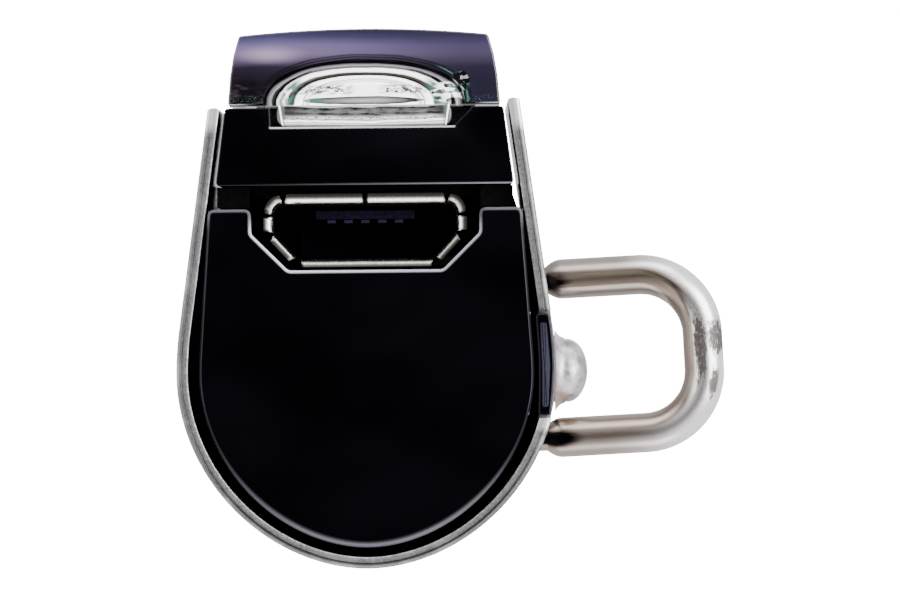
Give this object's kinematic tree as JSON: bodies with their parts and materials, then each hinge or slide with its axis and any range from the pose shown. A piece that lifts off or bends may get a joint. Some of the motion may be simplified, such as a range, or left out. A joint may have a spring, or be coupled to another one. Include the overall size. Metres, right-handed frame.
{
  "type": "miniature disc brake lock",
  "caption": "Round-ended disc brake lock in a bent steel band, with a sliding wire shackle, domed plunger, side button, charging port, clear lens and smoked dome.",
  "frame": {"origin": "centre of the body's round end, on the rear cover's outer face", "axes": "+X towards the shackle, +Z towards the smoked dome, -Y out of the charging port"},
  "size_m": [0.0213, 0.024, 0.0206],
  "materials": {
    "band_steel": "satin, fine grain on the cut edge",
    "shackle_steel": "warm satin nickel, rubbed at the bend",
    "plunger_steel": "tumbled, frosted satin",
    "gloss_black": "moulded, high gloss",
    "smoked_dome": "smoked violet, high gloss",
    "clear_lens": "clear, polished",
    "matte_black": "matte",
    "seal_rubber": "matte",
    "screw_steel": "plated",
    "plated_steel": "zinc plated",
    "port_nickel": "folded nickel-plated sheet",
    "contact_metal": "gold-coloured plating over copper alloy",
    "board": "black solder mask",
    "led_resin": "clear resin over yellow phosphor",
    "cell_foil": "foil pouch"
  },
  "bodies": {
    "body": {"steel_band": "band_steel", "lower_housing": "gloss_black", "upper_housing": "gloss_black", "top_cover": "smoked_dome", "lens": "clear_lens", "inner_frame": "matte_black", "rear_cover": "gloss_black", "rear_seal": "seal_rubber", "rear_screw_1": "screw_steel", "rear_screw_2": "screw_steel", "rear_screw_3": "screw_steel", "rear_screw_4": "screw_steel", "usb_shell": "port_nickel", "usb_tongue": "matte_black", "usb_contact_1": "contact_metal", "usb_contact_2": "contact_metal", "usb_contact_3": "contact_metal", "usb_contact_4": "contact_metal", "usb_contact_5": "contact_metal", "circuit_board": "board", "control_chip": "matte_black", "charge_chip": "matte_black", "led_left": "led_resin", "led_right": "led_resin", "battery_cell": "cell_foil", "siren_disc": "contact_metal", "lock_chassis": "plated_steel", "shackle_guide_upper": "contact_metal", "shackle_guide_lower": "contact_metal", "lock_motor": "plated_steel", "plunger_collar": "plunger_steel", "plunger_spring": "plated_steel", "arming_switch": "matte_black", "button_switch": "matte_black"},
    "shackle": {"shackle": "shackle_steel"},
    "cam": {"motor_cam": "contact_metal"},
    "latch": {"locking_plate": "plated_steel"},
    "plunger": {"arming_plunger": "plunger_steel"},
    "button": {"unlock_button": "gloss_black"}
  },
  "joints": [
    {"name": "shackle_slide", "type": "slide", "parent": "body", "child": "shackle", "axis": [0.9989, 0, 0.0471], "range_m": [0, 0.005]},
    {"name": "cam_turn", "type": "hinge", "parent": "body", "child": "cam", "pos_m": [0, -0.0125, 0.00015], "axis": [-0.9989, 0, -0.0471], "range_deg": [0, 90]},
    {"name": "latch_slide", "type": "slide", "parent": "body", "child": "latch", "axis": [0, 1, 0], "range_m": [0, 0.0007]},
    {"name": "plunger_press", "type": "slide", "parent": "body", "child": "plunger", "axis": [-1, 0, 0], "range_m": [0, 0.00045], "stiffness_N_per_m": 300, "springref_m": -0.0003, "deforming": ["plunger_spring"]},
    {"name": "button_press", "type": "slide", "parent": "body", "child": "button", "axis": [-1, 0, 0], "range_m": [0, 0.00015], "stiffness_N_per_m": 1500, "springref_m": -0.0001}
  ],
  "couplings": [
    {"joint": "cam_turn", "follows": "latch_slide", "rad_per_m": 2240}
  ]
}
